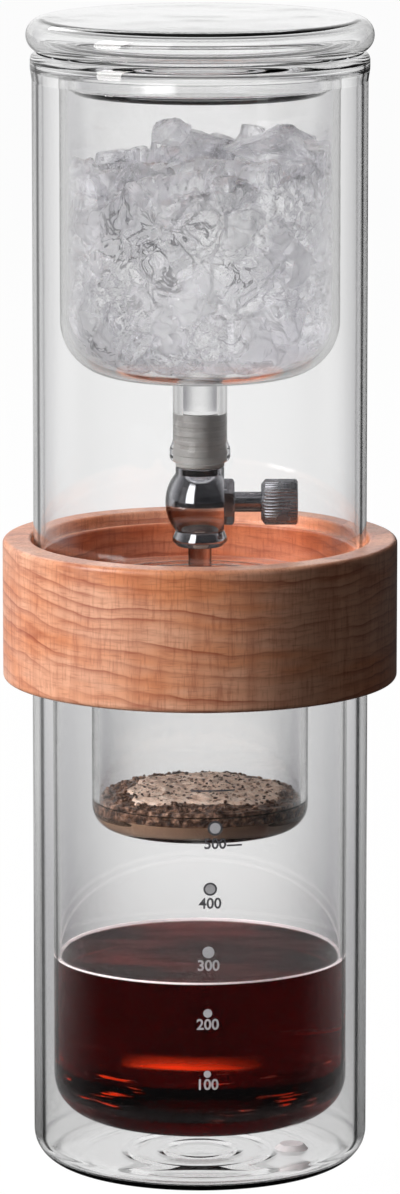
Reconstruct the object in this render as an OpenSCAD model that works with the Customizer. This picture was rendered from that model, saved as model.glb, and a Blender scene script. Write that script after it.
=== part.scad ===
// Cold drip coffee tower. A double-walled carafe carries a turned wooden collar. The collar holds the
// coffee cup and the double-walled ice vessel, whose outlet ends in a needle valve. A hollow lid tops it.
// The origin is the centre of the base, +Z is up, and the valve knob points along +X.

/* [Carafe] */
// Outer diameter of the carafe
carafe_d = 97.6; // [90:0.1:104]
// Height of the carafe from its base to the top of its rim
carafe_h = 156; // [130:0.5:200]
// Wall of the carafe's outer jacket
jacket_wall = 2; // [1.4:0.1:2.6]
// Wall of the carafe's inner liner
liner_wall = 1.6; // [1.2:0.1:2.4]
// Sealed gap between jacket and liner, at the side
carafe_gap = 3.9; // [2.4:0.1:6]
// Sealed gap between jacket and liner, at the base
base_gap = 12; // [6:0.5:20]
// Rounding of the jacket where the side meets the base
base_round = 9; // [5:0.5:14]
// Rounding of the liner where its side meets its floor
liner_round = 12; // [6:0.5:20]
// Diameter of the vent hole in the base
vent_d = 7; // [4:0.5:9]
// Distance of the vent hole from the centre of the base
vent_offset = 27; // [14:1:30]

/* [Collar] */
// Outer diameter of the wooden collar
collar_d = 114.7; // [110:0.1:130]
// Height of the collar
collar_h = 41.1; // [36:0.1:60]
// Rounding of the collar's outer edges
collar_edge = 1.2; // [0.4:0.1:2.5]
// Depth of the socket that drops over the carafe's rim
socket_depth = 12.2; // [8:0.1:16]
// Thickness of the web between the carafe's rim and the cup's seat
web_t = 14.8; // [8:0.1:17]
// Diameter of the collar's polished bore above the web
bore_d = 91; // [84:0.1:92]
// Depth of the ledge that the upper vessel stands on
ledge_depth = 3.4; // [2:0.1:6]
// Chamfer round the mouths of the collar's recesses
mouth_chamfer = 0.7; // [0.2:0.1:1.2]

/* [Coffee cup] */
// Outer diameter of the cup
cup_d = 63.2; // [50:0.1:68]
// Depth of the cup below its seat
cup_drop = 71.3; // [50:0.1:90]
// Wall of the cup
cup_wall = 2; // [1.4:0.1:3]
// Thickness of the cup's floor
cup_floor = 3; // [2:0.1:4]
// Rounding of the cup where its side meets its floor
cup_round = 7; // [4:0.5:12]
// Diameter of the flange that the cup hangs by
flange_d = 80; // [74:0.5:84]
// Thickness of the flange
flange_t = 2.2; // [1.6:0.1:3]
// Diameter of the outlet hole in the floor
outlet_d = 6; // [3:0.5:9]
// Length of the drip nib under the outlet
nib_len = 2.5; // [1:0.5:6]

/* [Filter] */
// Diameter of the filter's silicone ring
filter_d = 48.6; // [36:0.1:48.8]
// Height of the silicone ring
ring_h = 2.6; // [2:0.1:5]
// Radial width of the silicone ring
ring_w = 2.4; // [1.6:0.1:4]
// Thickness of the perforated disc
disc_t = 0.8; // [0.4:0.1:1.2]
// Diameter of one perforation
hole_d = 1.8; // [1:0.1:2.4]
// Spacing of the perforations
hole_pitch = 4.6; // [3.6:0.1:7]

/* [Upper vessel] */
// Outer diameter of the upper vessel
vessel_d = 96.8; // [92:0.1:97.6]
// Height of the upper vessel from its foot to the top of its rim
vessel_h = 144.8; // [130:0.1:200]
// Wall of the vessel's outer tube
tube_wall = 2; // [1.4:0.1:2.4]
// Wall of the ice chamber
chamber_wall = 2; // [1.4:0.1:2.6]
// Outer diameter of the ice chamber
chamber_d = 81; // [80:0.1:84]
// Depth of the ice chamber from the rim to the underside of its floor
chamber_h = 93.3; // [70:0.1:100]
// Rounding of the ice chamber where its side meets its floor
chamber_round = 16; // [8:0.5:24]
// How far the fused rim bulges past the outer tube
rim_bulge = 0.5; // [0.1:0.1:1]

/* [Outlet joint] */
// Outer diameter of the glass outlet
joint_d = 15.8; // [13:0.1:18]
// Bore of the glass outlet
joint_bore = 10.4; // [8:0.1:11]
// Length of the glass outlet under the chamber
joint_len = 25.8; // [20:0.1:32]
// Diameter of the rolled lip at the outlet's end
lip_d = 17.6; // [16:0.1:20]
// Length of the silicone stopper inside the outlet
stopper_len = 14.3; // [10:0.1:18]
// Thickness of the stopper's flange under the lip
stopper_flange_t = 1.2; // [0.8:0.1:2]
// Number of sealing ribs round the stopper
rib_count = 4; // [2:1:6]

/* [Lid] */
// Diameter of the lid
lid_d = 100.2; // [98:0.1:108]
// Thickness of the lid above the vessel's rim
lid_t = 9.8; // [8:0.1:14]
// Diameter of the plug that drops into the ice chamber
plug_d = 75.4; // [66:0.1:76.6]
// Depth of the plug
plug_drop = 11.7; // [6:0.1:18]
// Wall of the hollow lid
lid_wall = 2; // [1.4:0.1:2.6]
// Rounding at the foot of the plug
plug_round = 3; // [2.6:0.1:5]

/* [Valve] */
// Diameter of the valve's barrel at its widest
barrel_d = 20.2; // [18.4:0.1:24]
// Diameter of the barrel's necks
neck_d = 14.2; // [13:0.1:16]
// Height of the barrel between its necks
barrel_h = 16.8; // [15:0.1:20]
// Distance of the milled flat from the valve's centre line
flat_x = 7; // [6.6:0.1:7.4]
// Outer diameter of the inlet tube
inlet_d = 5.2; // [4:0.1:6]
// Bore of the inlet tube
inlet_bore = 3; // [2:0.1:3.4]
// Diameter of the flared skirt
skirt_d = 16.2; // [15:0.1:20]
// Height of the flared skirt
skirt_h = 4.4; // [4:0.1:7]
// Outer diameter of the drip nozzle
nozzle_d = 6.8; // [5:0.1:7.4]
// Bore of the drip nozzle
nozzle_bore = 3.2; // [2:0.1:4]
// Length of the nozzle below the skirt
nozzle_len = 7.6; // [5:0.1:7.8]

/* [Needle] */
// Diameter of the spindle
spindle_d = 5.9; // [5.4:0.1:6.3]
// Width across the flats of the gland nut
nut_af = 11.8; // [10:0.1:13]
// Thickness of the gland nut
nut_t = 3; // [2:0.1:4]
// Diameter of the knob
knob_d = 13.3; // [11:0.1:18]
// Length of the knob
knob_len = 10.6; // [8:0.1:14]
// Distance from the gland nut to the knob
knob_gap = 7.7; // [6:0.1:12]
// Number of flutes round the knob
flute_count = 40; // [24:1:48]
// Thread pitch of the needle
pitch = 0.7; // [0.5:0.05:0.7]
// Turns from the rest position to closed
close_turns = 0.5; // [0.2:0.1:0.6]
// Included slope of the needle, as radius gained along its length
needle_slope = 0.375; // [0.3:0.005:0.45]

/* [Clearances] */
// Radial clearance between glass and the wooden collar
glass_play = 0.7; // [0.3:0.1:1.4]
// Radial clearance between the cup and the hole in the web
cup_play = 1.4; // [0.5:0.1:2]
// Radial running clearance of the spindle and its seal
run_play = 0.05; // [0.03:0.01:0.09]
// Clearance left between needle and seat when closed
seat_play = 0.03; // [0.02:0.01:0.08]

/* [Hidden] */

$fn = 96;
arc_steps = 10;          // points along a rounded corner
through = 1;             // how far a cutter passes beyond the face it opens

// The stack, from the base up
rim_edge = 2.3;          // rounding of the fused rims
rim_t = 2.3;             // glass above the sealed gap
seam_drop = 8;           // from the top of a rim down to the seam of its two walls
collar_z = carafe_h - socket_depth;
collar_top = collar_z + collar_h;
cup_seat_z = carafe_h + web_t;
cup_bottom_z = cup_seat_z - cup_drop;
vessel_foot_z = collar_top - ledge_depth;
vessel_top_z = vessel_foot_z + vessel_h;
chamber_z = vessel_top_z - chamber_h;
lip_z = chamber_z - joint_len;
lid_top_z = vessel_top_z + lid_t;

// Radii that several pieces share
carafe_r = carafe_d / 2;
liner_r = carafe_r - jacket_wall - carafe_gap;
vessel_r = vessel_d / 2;
chamber_r = chamber_d / 2;
cup_r = cup_d / 2;
cup_inner_r = cup_r - cup_wall;
socket_r = carafe_r + glass_play;
ledge_r = vessel_r + glass_play;
vent_r = vent_d / 2;

// Vent plug
vent_head = 1.5;         // how far its head reaches past the hole, and its thickness
vent_recess = 0.3;       // how far it stops short of the base

// Cup and filter
flange_fillet = 2;       // under the flange
web_relief = flange_fillet + 0.6;  // chamfer of the web's hole, clear of that fillet
nib_wall = 1.6;
nib_taper = 0.6;
cup_floor_z = cup_bottom_z + cup_floor;
filter_r = filter_d / 2;
disc_r = filter_r - ring_w / 2;
disc_z = cup_floor_z + ring_h / 2 - disc_t / 2;
hole_rings = floor((filter_r - ring_w - hole_d) / hole_pitch);

// Outlet joint
joint_r = joint_d / 2;
joint_bore_r = joint_bore / 2;
joint_fillet = 2;
lip_bead = 2.2;
rib_depth = 0.5;
stopper_root_r = joint_bore_r - rib_depth;
rib_pitch = stopper_len / (rib_count + 1);
rib_h = rib_pitch / 2;

// Valve. Its parts are drawn from its own centre, where the spindle's axis crosses the outlet's.
barrel_top_z = lip_z - stopper_flange_t;
barrel_neck_h = 2.2;     // straight neck above the barrel
valve_z = barrel_top_z - barrel_neck_h - barrel_h / 2;
barrel_foot_z = valve_z - barrel_h / 2;
neck_r = neck_d / 2;
barrel_bulge = barrel_d / 2 - neck_r;
barrel_arc_r = (pow(barrel_h / 2, 2) + pow(barrel_bulge, 2)) / (2 * barrel_bulge);
barrel_arc_a = asin(barrel_h / 2 / barrel_arc_r);
inlet_r = inlet_d / 2;
inlet_depth = 4;         // how deep the inlet tube sits in the barrel
spigot_r = 4;            // of the barrel, inside the skirt cap
spigot_len = 2.2;
passage_r = 0.9;
skirt_z = barrel_foot_z - skirt_h;
nozzle_r = nozzle_d / 2;
nozzle_seat = 1.6;       // how deep the nozzle sits in the skirt cap
nozzle_taper = 0.6;

// Needle and seat, along +X from the valve's centre line
spindle_r = spindle_d / 2;
seal_bore_r = 3.6;       // of the barrel, round the spindle's seal
seal_wire_r = 0.8;
seal_groove_w = 1.8;
seal_land_r = 2.6;       // of the spindle, beside the seal's groove
seal_x = 2.6;
seal_land_x = 1.6;
nut_spigot_x = 5;
seat_r = 2.2;
seat_x = -1;             // face of the seat
seat_len = 3;
seat_orifice_r = 0.6;
needle_tip_r = 0.3;
needle_shank_r = 1.2;
needle_tip_x = -2.9;
needle_len = (needle_shank_r - needle_tip_r) / needle_slope;
close_travel = pitch * close_turns;
outlet_end_x = -5.4;     // where the drilling behind the seat turns down

// Knob
knob_r = knob_d / 2;
knob_x = flat_x + nut_t + knob_gap;
knob_end_x = knob_x + knob_len;
flute_depth = 0.45;
knob_lead = 1.3;         // long bevel at the knob's inner end
knob_bevel = 0.5;
knob_floor = 2;          // left over the end of the spindle
screw_r = 1;
screw_x = knob_x + 3;
screw_socket_r = 0.5;
screw_socket_h = 1;
nut_bevel = 0.7;

// Points along an arc about c, from one angle to the other
function arc(c, r, from, to, n = arc_steps) =
    [for (i = [0:n]) c + r * [cos(from + (to - from) * i / n), sin(from + (to - from) * i / n)]];

// Outline of a fused double rim, from the inner wall over the top to the seam and back under the gap.
// r_in and r_out are the rim's own radii, t_in and t_out its walls, and bulge what it adds to r_out.
function double_rim(r_in, t_in, r_out, t_out, top, bulge = 0) =
    let (gap = r_out - t_out - r_in - t_in)
    concat(
        arc([r_in + rim_edge, top - rim_edge], rim_edge, 180, 90),
        arc([r_out + bulge - rim_edge, top - rim_edge], rim_edge, 90, 0),
        bulge > 0 ? [[r_out + bulge, top - rim_edge - rim_t]] : [],
        [[r_out, top - seam_drop], [r_out - t_out, top - seam_drop]],
        arc([r_in + t_in + gap / 2, top - rim_t - gap / 2], gap / 2, 0, 180)
    );

// A cylinder along +X, from x = from to x = to
module rod_x(r, from, to) {
    translate([from, 0, 0]) rotate([0, 90, 0]) cylinder(r = r, h = to - from);
}

// Turns an outline of [radius, x] points about the X axis
module turned_x(points) {
    rotate([0, 90, 0]) rotate_extrude() polygon(points);
}

module carafe_jacket() {
    color([0.85, 0.9, 0.92, 0.4]) difference() {
        rotate_extrude() polygon(concat(
            [[0, 0]],
            arc([carafe_r - base_round, base_round], base_round, -90, 0),
            [[carafe_r, carafe_h - seam_drop], [carafe_r - jacket_wall, carafe_h - seam_drop]],
            arc([carafe_r - base_round, base_round], base_round - jacket_wall, 0, -90),
            [[0, jacket_wall]]
        ));
        translate([vent_offset, 0, -through]) cylinder(r = vent_r, h = jacket_wall + 2 * through);
    }
}

module carafe_liner() {
    floor_z = jacket_wall + base_gap;
    inner_r = liner_r - liner_wall;
    color([0.85, 0.9, 0.92, 0.4]) rotate_extrude() polygon(concat(
        [[0, floor_z + liner_wall]],
        arc([liner_r - liner_round, floor_z + liner_round], liner_round - liner_wall, -90, 0),
        double_rim(inner_r, liner_wall, carafe_r, jacket_wall, carafe_h),
        arc([liner_r - liner_round, floor_z + liner_round], liner_round, 0, -90),
        [[0, floor_z]]
    ));
}

module vent_plug() {
    color("gainsboro") translate([vent_offset, 0, 0]) {
        translate([0, 0, vent_recess]) cylinder(r = vent_r, h = jacket_wall - vent_recess);
        translate([0, 0, jacket_wall]) cylinder(r1 = vent_r + vent_head, r2 = vent_r, h = vent_head);
    }
}

module wood_collar() {
    r = collar_d / 2;
    color([0.78, 0.52, 0.36]) rotate_extrude() polygon(concat(
        // the bore over the web, and the web with its hole for the cup
        [
            [cup_r + cup_play, carafe_h],
            [cup_r + cup_play, cup_seat_z - web_relief],
            [cup_r + cup_play + web_relief, cup_seat_z],
            [bore_d / 2, cup_seat_z],
            [bore_d / 2, vessel_foot_z],
            [ledge_r, vessel_foot_z],
            [ledge_r, collar_top - mouth_chamfer],
            [ledge_r + mouth_chamfer, collar_top],
        ],
        arc([r - collar_edge, collar_top - collar_edge], collar_edge, 90, 0),
        arc([r - collar_edge, collar_z + collar_edge], collar_edge, 0, -90),
        // the socket for the carafe
        [
            [socket_r + mouth_chamfer, collar_z],
            [socket_r, collar_z + mouth_chamfer],
            [socket_r, carafe_h],
        ]
    ));
}

module coffee_cup() {
    outlet_r = outlet_d / 2;
    flange_r = flange_d / 2;
    lip = flange_t / 2;
    color([0.85, 0.9, 0.92, 0.4]) rotate_extrude() polygon(concat(
        [
            [outlet_r, cup_bottom_z - nib_len],
            [outlet_r, cup_floor_z],
        ],
        arc([cup_inner_r - cup_round + cup_wall, cup_floor_z + cup_round - cup_wall],
            cup_round - cup_wall, -90, 0),
        arc([cup_inner_r + lip, cup_seat_z + flange_t - lip], lip, 180, 90),
        arc([flange_r - lip, cup_seat_z + lip], lip, 90, -90),
        arc([cup_r + flange_fillet, cup_seat_z - flange_fillet], flange_fillet, 90, 180),
        arc([cup_r - cup_round, cup_bottom_z + cup_round], cup_round, 0, -90),
        [
            [outlet_r + nib_wall + nib_taper, cup_bottom_z],
            [outlet_r + nib_wall, cup_bottom_z - nib_len],
        ]
    ));
}

module filter_ring() {
    color("whitesmoke") translate([0, 0, cup_floor_z]) difference() {
        cylinder(r = filter_r, h = ring_h);
        translate([0, 0, -through]) cylinder(r = filter_r - ring_w, h = ring_h + 2 * through);
        translate([0, 0, disc_z - cup_floor_z]) cylinder(r = disc_r, h = disc_t);
    }
}

module filter_disc() {
    color("silver") translate([0, 0, disc_z]) difference() {
        cylinder(r = disc_r, h = disc_t);
        translate([0, 0, -through]) cylinder(d = hole_d, h = disc_t + 2 * through);
        for (ring = [1:hole_rings], i = [0:6 * ring - 1])
            rotate([0, 0, 60 * i / ring]) translate([ring * hole_pitch, 0, -through])
                cylinder(d = hole_d, h = disc_t + 2 * through);
    }
}

module vessel_tube() {
    foot_edge = tube_wall / 4;
    color([0.85, 0.9, 0.92, 0.4]) rotate_extrude() polygon([
        [vessel_r - tube_wall, vessel_foot_z + foot_edge],
        [vessel_r - tube_wall + foot_edge, vessel_foot_z],
        [vessel_r - foot_edge, vessel_foot_z],
        [vessel_r, vessel_foot_z + foot_edge],
        [vessel_r, vessel_top_z - seam_drop],
        [vessel_r - tube_wall, vessel_top_z - seam_drop],
    ]);
}

module ice_chamber() {
    inner_r = chamber_r - chamber_wall;
    floor_z = chamber_z + chamber_wall;
    color([0.85, 0.9, 0.92, 0.4]) rotate_extrude() polygon(concat(
        [[joint_bore_r, lip_z]],
        arc([joint_bore_r + joint_fillet, floor_z - joint_fillet], joint_fillet, 180, 90),
        arc([chamber_r - chamber_round, chamber_z + chamber_round], chamber_round - chamber_wall, -90, 0),
        double_rim(inner_r, chamber_wall, vessel_r, tube_wall, vessel_top_z, rim_bulge),
        arc([chamber_r - chamber_round, chamber_z + chamber_round], chamber_round, 0, -90),
        arc([joint_r + joint_fillet, chamber_z - joint_fillet], joint_fillet, 90, 180),
        [[joint_r, lip_z + 3 * lip_bead]],
        arc([lip_d / 2 - lip_bead, lip_z + lip_bead], lip_bead, 30, -90)
    ));
}

module silicone_stopper() {
    color([0.7, 0.7, 0.68]) rotate_extrude() polygon(concat(
        [[inlet_r, barrel_top_z], [neck_r, barrel_top_z], [neck_r, lip_z], [stopper_root_r, lip_z]],
        [for (i = [1:rib_count], p = [[0, 0], [rib_depth, 0.25], [rib_depth, 0.75], [0, 1]])
            [stopper_root_r + p[0], lip_z + rib_pitch * i - rib_h / 2 + rib_h * p[1]]],
        [[stopper_root_r, lip_z + stopper_len], [inlet_r, lip_z + stopper_len]]
    ));
}

module inlet_tube() {
    bottom_z = barrel_top_z - inlet_depth;
    color("silver") translate([0, 0, bottom_z]) difference() {
        cylinder(r = inlet_r, h = lip_z + stopper_len - bottom_z);
        translate([0, 0, -through]) cylinder(d = inlet_bore, h = lip_z + stopper_len - bottom_z + 2 * through);
    }
}

module valve_body() {
    color("silver") translate([0, 0, valve_z]) difference() {
        rotate_extrude() polygon(concat(
            [[0, -barrel_h / 2 - spigot_len], [spigot_r, -barrel_h / 2 - spigot_len], [spigot_r, -barrel_h / 2]],
            arc([barrel_d / 2 - barrel_arc_r, 0], barrel_arc_r, -barrel_arc_a, barrel_arc_a),
            [[neck_r, barrel_h / 2 + barrel_neck_h], [0, barrel_h / 2 + barrel_neck_h]]
        ));
        // the milled flat that the gland nut seats on
        translate([flat_x, -barrel_d, -barrel_h / 2]) cube([barrel_d, 2 * barrel_d, barrel_h]);
        // the chamber round the needle, the pocket of its seat and the drilling behind it
        rod_x(seal_bore_r, seat_x, flat_x + through);
        rod_x(seat_r, seat_x - seat_len, seat_x + through);
        rod_x(passage_r, outlet_end_x, seat_x - seat_len + through);
        // down from the inlet tube, and on from behind the seat to the spigot
        translate([0, 0, barrel_h / 2 + barrel_neck_h - inlet_depth]) cylinder(r = inlet_r, h = inlet_depth + through);
        cylinder(r = passage_r, h = barrel_h / 2);
        translate([0, 0, -barrel_h / 2]) rotate([0, atan2(outlet_end_x, barrel_h / 2), 0])
            cylinder(r = passage_r, h = norm([outlet_end_x, barrel_h / 2]));
        translate([0, 0, -barrel_h / 2 - spigot_len - through]) cylinder(r = passage_r, h = spigot_len + 2 * through);
    }
}

// The seat's cone follows the closed needle, one clearance away from it.
module valve_seat() {
    mouth_r = needle_tip_r + (seat_x + close_travel - needle_tip_x) * needle_slope + seat_play;
    cone_end_x = seat_x - (mouth_r - seat_orifice_r) / needle_slope;
    color("white") translate([0, 0, valve_z]) turned_x([
        [seat_orifice_r, seat_x - seat_len], [seat_r, seat_x - seat_len],
        [seat_r, seat_x], [mouth_r, seat_x], [seat_orifice_r, cone_end_x],
    ]);
}

module gland_nut() {
    color("silver") translate([0, 0, valve_z]) difference() {
        union() {
            intersection() {
                translate([flat_x, 0, 0]) rotate([0, 90, 0]) rotate(30)
                    cylinder(d = nut_af / cos(30), h = nut_t, $fn = 6);
                turned_x([
                    [0, flat_x], [nut_af / 2 / cos(30), flat_x],
                    [nut_af / 2 / cos(30), flat_x + nut_t - nut_bevel],
                    [nut_af / 2, flat_x + nut_t], [0, flat_x + nut_t],
                ]);
            }
            rod_x(seal_bore_r, nut_spigot_x, flat_x + nut_t / 2);
        }
        rod_x(spindle_r + run_play, nut_spigot_x - through, flat_x + nut_t + through);
    }
}

module skirt_cap() {
    flare_z = skirt_z + skirt_h / 3;
    color("silver") rotate_extrude() polygon([
        [passage_r, skirt_z + nozzle_seat],
        [nozzle_r, skirt_z + nozzle_seat],
        [nozzle_r, skirt_z],
        [skirt_d / 2 - skirt_h / 3, skirt_z],
        [skirt_d / 2 - skirt_h / 10, skirt_z + skirt_h / 6],
        [skirt_d / 2, flare_z],
        [skirt_d / 2 - skirt_h / 12, flare_z + skirt_h / 5],
        [neck_r, barrel_foot_z],
        [spigot_r, barrel_foot_z],
        [spigot_r, barrel_foot_z - spigot_len],
        [passage_r, barrel_foot_z - spigot_len],
    ]);
}

module drip_nozzle() {
    tip_z = skirt_z - nozzle_len;
    color("silver") rotate_extrude() polygon([
        [nozzle_bore / 2, tip_z],
        [nozzle_r - nozzle_taper, tip_z],
        [nozzle_r, tip_z + 2 * nozzle_taper],
        [nozzle_r, skirt_z + nozzle_seat],
        [nozzle_bore / 2, skirt_z + nozzle_seat],
    ]);
}

module spindle_seal() {
    color("black") translate([0, 0, valve_z]) rotate([0, 90, 0]) translate([0, 0, seal_x])
        rotate_extrude() translate([seal_bore_r - run_play - seal_wire_r, 0]) circle(r = seal_wire_r);
}

module needle_spindle() {
    groove_r = seal_bore_r - 2 * run_play - 2 * seal_wire_r;
    shank_x = needle_tip_x + needle_len;
    color("silver") translate([0, 0, valve_z]) turned_x([
        [0, needle_tip_x], [needle_tip_r, needle_tip_x],
        [needle_shank_r, shank_x], [needle_shank_r, seal_land_x],
        [seal_land_r, seal_land_x], [seal_land_r, seal_x - seal_groove_w / 2],
        [groove_r, seal_x - seal_groove_w / 2], [groove_r, seal_x + seal_groove_w / 2],
        [seal_land_r, seal_x + seal_groove_w / 2], [seal_land_r, nut_spigot_x],
        [spindle_r, nut_spigot_x], [spindle_r, knob_end_x - knob_floor], [0, knob_end_x - knob_floor],
    ]);
}

// Crests and roots of the flutes round the knob, as one outline
module fluted_outline() {
    step = 360 / flute_count;
    root_r = knob_r - flute_depth;
    polygon([for (i = [0:flute_count - 1], p = [[-0.22, knob_r], [0.22, knob_r], [0.4, root_r], [0.6, root_r]])
        p[1] * [cos((i + p[0]) * step), sin((i + p[0]) * step)]]);
}

module knob() {
    color("silver") translate([0, 0, valve_z]) difference() {
        intersection() {
            translate([knob_x, 0, 0]) rotate([0, 90, 0]) linear_extrude(knob_len) fluted_outline();
            // bevels at 45 degrees, whose cones reach outside the crests
            turned_x([
                [0, knob_x], [knob_r - knob_lead, knob_x], [knob_r + through, knob_x + knob_lead + through],
                [knob_r + through, knob_end_x - knob_bevel - through],
                [knob_r - knob_bevel, knob_end_x], [0, knob_end_x],
            ]);
        }
        rod_x(spindle_r, knob_x - through, knob_end_x - knob_floor);
        translate([screw_x, 0, -knob_r - through]) cylinder(r = screw_r, h = knob_r + through);
    }
}

// A short screw in the knob's underside that grips the spindle
module knob_screw() {
    root_r = knob_r - flute_depth;
    color("dimgray") translate([screw_x, 0, valve_z]) difference() {
        translate([0, 0, -root_r]) cylinder(r = screw_r, h = root_r);
        rotate([0, 90, 0]) cylinder(r = spindle_r, h = 4 * screw_r, center = true);
        translate([0, 0, -root_r - through]) cylinder(r = screw_socket_r, h = screw_socket_h + through, $fn = 6);
    }
}

module lid_crown() {
    r = lid_d / 2;
    round_r = lid_t / 2;
    seam_z = vessel_top_z + round_r;
    color([0.85, 0.9, 0.92, 0.4]) rotate_extrude() polygon(concat(
        [[0, lid_top_z - lid_wall]],
        arc([r - round_r, seam_z], round_r - lid_wall, 90, 0),
        arc([r - round_r, seam_z], round_r, 0, 90),
        [[0, lid_top_z]]
    ));
}

module lid_plug() {
    r = lid_d / 2;
    round_r = lid_t / 2;
    seam_z = vessel_top_z + round_r;
    plug_r = plug_d / 2;
    plug_z = vessel_top_z - plug_drop;
    shoulder = lid_wall / 2;  // small rounding where the plug meets the lid's underside, on both faces
    color([0.85, 0.9, 0.92, 0.4]) rotate_extrude() polygon(concat(
        [[0, plug_z]],
        arc([plug_r - plug_round, plug_z + plug_round], plug_round, -90, 0),
        [[plug_r, vessel_top_z]],
        arc([r - round_r, seam_z], round_r, -90, 0),
        arc([r - round_r, seam_z], round_r - lid_wall, 0, -90),
        arc([plug_r + shoulder - lid_wall, vessel_top_z + lid_wall - shoulder], shoulder, 90, 180),
        arc([plug_r - plug_round, plug_z + plug_round], plug_round - lid_wall, 0, -90),
        [[0, plug_z + lid_wall]]
    ));
}

carafe_jacket();
carafe_liner();
vent_plug();
wood_collar();
coffee_cup();
filter_ring();
filter_disc();
vessel_tube();
ice_chamber();
silicone_stopper();
inlet_tube();
valve_body();
valve_seat();
gland_nut();
skirt_cap();
drip_nozzle();
spindle_seal();
needle_spindle();
knob();
knob_screw();
lid_crown();
lid_plug();
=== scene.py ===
import math
import random

import bmesh
import bpy
from mathutils import Matrix, Vector, kdtree, noise


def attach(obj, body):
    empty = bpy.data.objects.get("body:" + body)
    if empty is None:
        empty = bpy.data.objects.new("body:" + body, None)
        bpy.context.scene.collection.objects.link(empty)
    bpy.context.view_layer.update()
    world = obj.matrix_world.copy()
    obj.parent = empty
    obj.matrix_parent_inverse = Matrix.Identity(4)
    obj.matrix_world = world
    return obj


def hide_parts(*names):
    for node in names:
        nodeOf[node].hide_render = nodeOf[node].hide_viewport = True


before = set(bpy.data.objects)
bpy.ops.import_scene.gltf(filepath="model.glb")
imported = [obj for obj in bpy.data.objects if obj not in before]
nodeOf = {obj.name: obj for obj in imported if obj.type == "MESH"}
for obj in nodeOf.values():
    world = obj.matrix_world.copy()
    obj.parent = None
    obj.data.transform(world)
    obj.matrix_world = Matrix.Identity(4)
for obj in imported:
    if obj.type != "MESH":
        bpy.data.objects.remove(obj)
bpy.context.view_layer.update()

scene = bpy.context.scene
mm = 0.001  # sizes below are in millimetres, and each mesh turns them into metres

# the camera stands where the photographer's did, a little above the tower's middle
cameraView = {"aim": (0, 0, 167.2), "distance": 2000, "pitch": 10.2, "lens": 207.2}


def addCamera(view):
    pitch = math.radians(view["pitch"])
    back = Vector((0, -math.cos(pitch), math.sin(pitch))) * view["distance"]
    data = bpy.data.cameras.new("towerCamera")
    data.lens = view["lens"]
    camera = bpy.data.objects.new("towerCamera", data)
    camera.location = (Vector(view["aim"]) + back) * mm
    camera.rotation_euler = (math.pi / 2 - pitch, 0, 0)
    scene.collection.objects.link(camera)
    scene.camera = camera


addCamera(cameraView)
scene.view_settings.view_transform = "Standard"
scene.cycles.max_bounces = scene.cycles.transmission_bounces = 32  # for the many walls of glass and ice
print("camera placed")


# short ways to build node trees
def asColour(value):
    # a plain number stands for a grey
    return (value, value, value, 1) if isinstance(value, (int, float)) else (*value, 1)


def put(tree, kind, inputs=None, **settings):
    # each input is a value, a socket, or a node whose first output is meant
    node = tree.nodes.new("ShaderNode" + kind)
    for name, value in settings.items():
        setattr(node, name, value)
    for name, value in (inputs or {}).items():
        socket = node.inputs[name]
        if isinstance(value, bpy.types.Node):
            value = value.outputs[0]
        if isinstance(value, bpy.types.NodeSocket):
            tree.links.new(value, socket)
        else:
            socket.default_value = asColour(value) if socket.type == "RGBA" else value
    return node


def math2(tree, operation, a, b=0.0):
    return put(tree, "Math", {0: a, 1: b}, operation=operation)


def times(tree, product, *factors):
    for factor in factors:
        product = math2(tree, "MULTIPLY", product, factor)
    return product


def mapped(tree, value, least, most, low=0.0, high=1.0):
    return put(tree, "MapRange", {"Value": value, 1: least, 2: most, 3: low, 4: high})


def axes(tree, vector):
    return put(tree, "SeparateXYZ", {0: vector}).outputs


def lengthOf(tree, vector):
    return put(tree, "VectorMath", {0: vector}, operation="LENGTH").outputs["Value"]


def ramp(tree, factor, stops):
    node = put(tree, "ValToRGB", {"Fac": factor})
    elements = node.color_ramp.elements
    while len(elements) < len(stops):
        elements.new(0.5)
    for element, (place, colour) in zip(elements, stops):
        element.position = place
        element.color = asColour(colour)
    return node


def blended(tree, share, a, b, blend="MIX"):
    return put(tree, "Mix", {0: share, 6: a, 7: b}, data_type="RGBA", blend_type=blend).outputs[2]


def tinted(tree, colour, tint):
    return blended(tree, 1.0, colour, tint, "MULTIPLY")


def mixed(tree, share, a, b):
    return put(tree, "MixShader", {0: share, 1: a, 2: b})


def objectPoint(tree, scale=(1, 1, 1)):
    coords = put(tree, "TexCoord").outputs["Object"]
    return put(tree, "Mapping", {"Vector": coords, "Scale": scale})


def speckle(tree, point, scale, detail=2.0, rough=0.5, distort=0.0):
    return put(tree, "TexNoise", {
        "Vector": point, "Scale": scale, "Detail": detail, "Roughness": rough, "Distortion": distort,
    }).outputs["Fac"]


def streaks(tree, scale, detail=2.0, rough=0.5):
    # noise with a scale of its own along each axis
    return speckle(tree, objectPoint(tree, scale), 1.0, detail, rough)


def relief(tree, height, strength, distance):
    return put(tree, "Bump", {"Height": height, "Strength": strength, "Distance": distance})


def facing(tree):
    # 0 where a surface is seen square on, 1 where it is seen along
    return put(tree, "LayerWeight", {"Blend": 0.5}).outputs["Facing"]


def levelness(tree):
    # 0 on an upright wall, 1 on a level face
    return math2(tree, "ABSOLUTE", axes(tree, put(tree, "NewGeometry").outputs["Normal"])["Z"])


def withFilm(tree, body, film):
    # light that casts a shadow only passes a thin tint, so that it reaches what stands behind
    shadow = put(tree, "LightPath").outputs["Is Shadow Ray"]
    return mixed(tree, shadow, body, put(tree, "BsdfTransparent", {"Color": film}))


def startMaterial(name):
    made = bpy.data.materials.new(name)
    made.use_nodes = True
    made.node_tree.nodes.clear()
    return made, made.node_tree


def endMaterial(made, surface, **more):
    put(made.node_tree, "OutputMaterial", {"Surface": surface, **more})
    return made


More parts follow.
